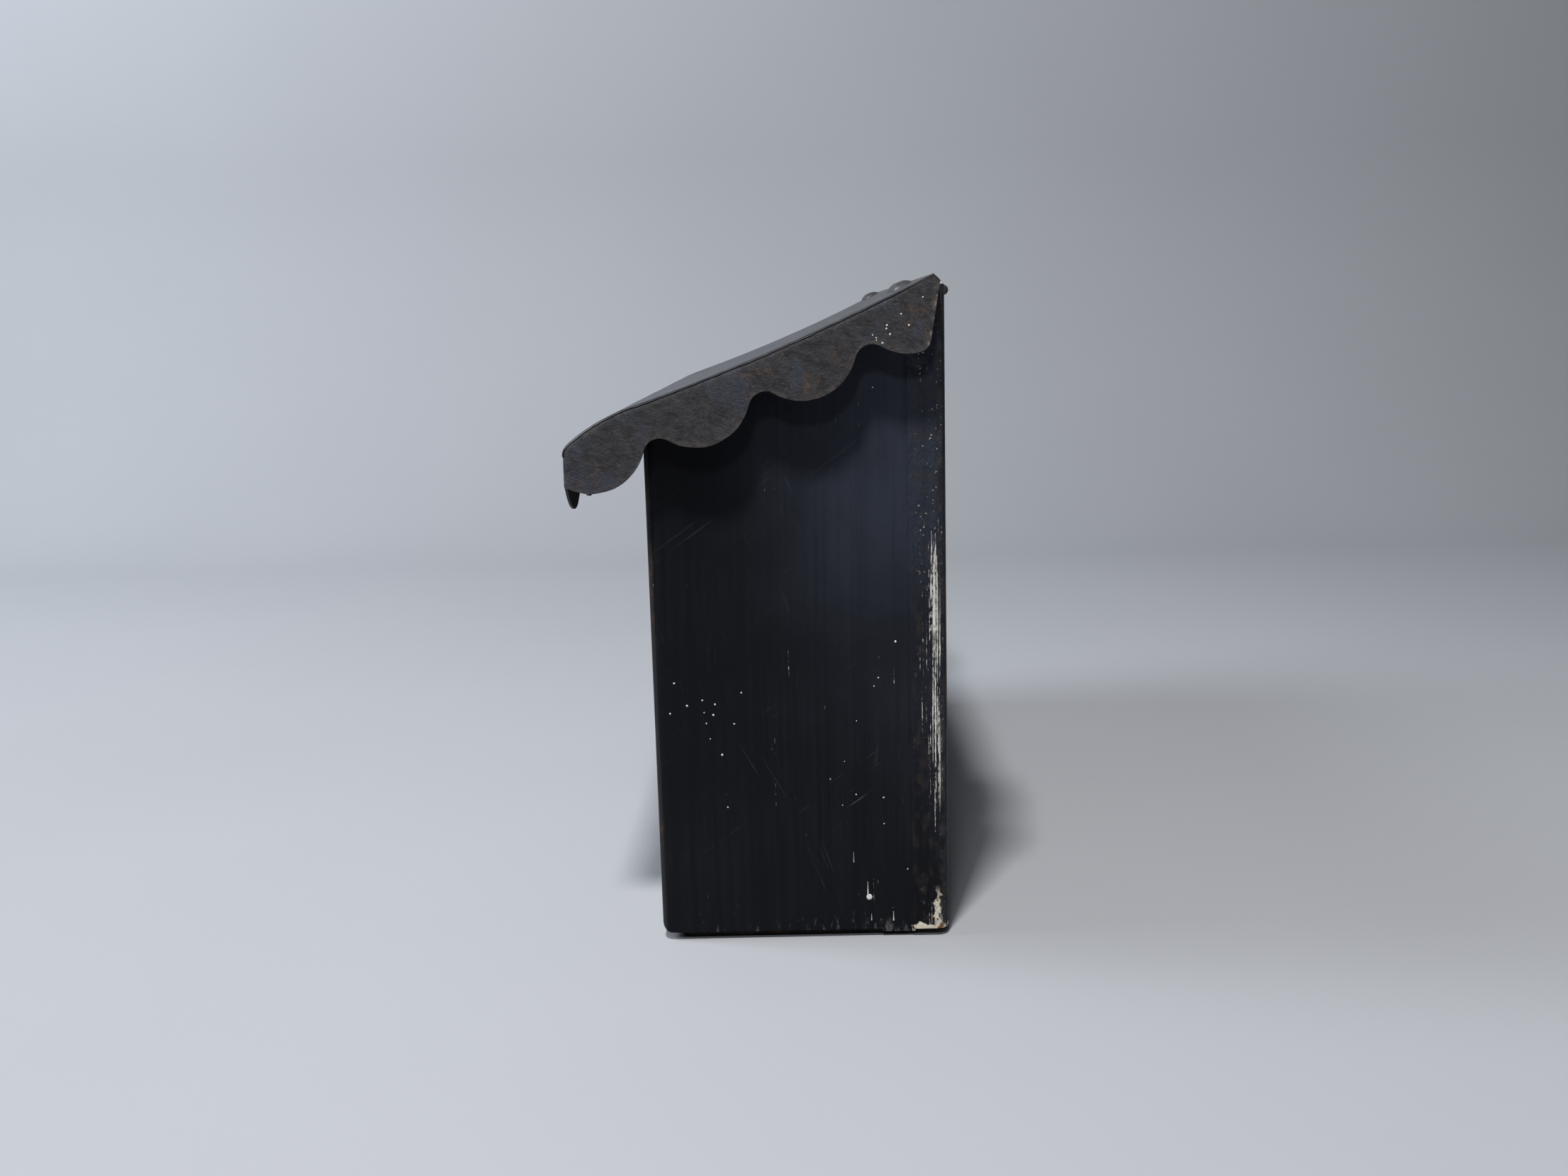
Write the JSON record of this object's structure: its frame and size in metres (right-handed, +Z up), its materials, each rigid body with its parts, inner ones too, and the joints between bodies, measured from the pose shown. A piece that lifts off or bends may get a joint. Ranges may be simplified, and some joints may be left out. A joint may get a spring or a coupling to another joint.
{
  "type": "wall mounted mailbox",
  "caption": "Slim sheet steel mailbox for a wall: tall rectangular box with a sloping, slightly hollowed lid that overhangs front and ends in a scalloped skirt and hinges open at the back.",
  "frame": {"origin": "middle of the back plate's lower edge, on its rear face", "axes": "+X towards the box's right-hand end, +Y into the wall, +Z up; the front faces -Y"},
  "size_m": [0.36, 0.1368, 0.2395],
  "materials": {
    "body_paint": "smooth satin blue-black paint with faint vertical streaks, scratches and small spots of white paint",
    "back_paint": "satin blue-black paint, slightly lumpy, with runs of cream paint along the edges",
    "lid_paint": "many coats of brushed dark paint, wrinkled and weathered, with worn edges and rust tints on the skirt",
    "hinge_paint": "thick dark paint worn to brown steel on the barrels",
    "rivet_paint": "dark paint over domed rivet heads"
  },
  "bodies": {
    "box": {"body_wrap": "body_paint", "back_plate": "back_paint", "bottom_pan": "body_paint", "body_hinge_leaf_left": "hinge_paint", "body_hinge_leaf_right": "hinge_paint", "hinge_pin_left": "hinge_paint", "hinge_pin_right": "hinge_paint", "body_rivets_left": "rivet_paint", "body_rivets_right": "rivet_paint"},
    "lid": {"lid_sheet": "lid_paint", "lid_hinge_leaf_left": "hinge_paint", "lid_hinge_leaf_right": "hinge_paint", "lid_rivets_left": "rivet_paint", "lid_rivets_right": "rivet_paint"}
  },
  "joints": [
    {"name": "lid_hinge", "type": "hinge", "parent": "box", "child": "lid", "pos_m": [0, 0.0022, 0.2314], "axis": [-1, 0, 0], "range_deg": [0, 65]}
  ]
}
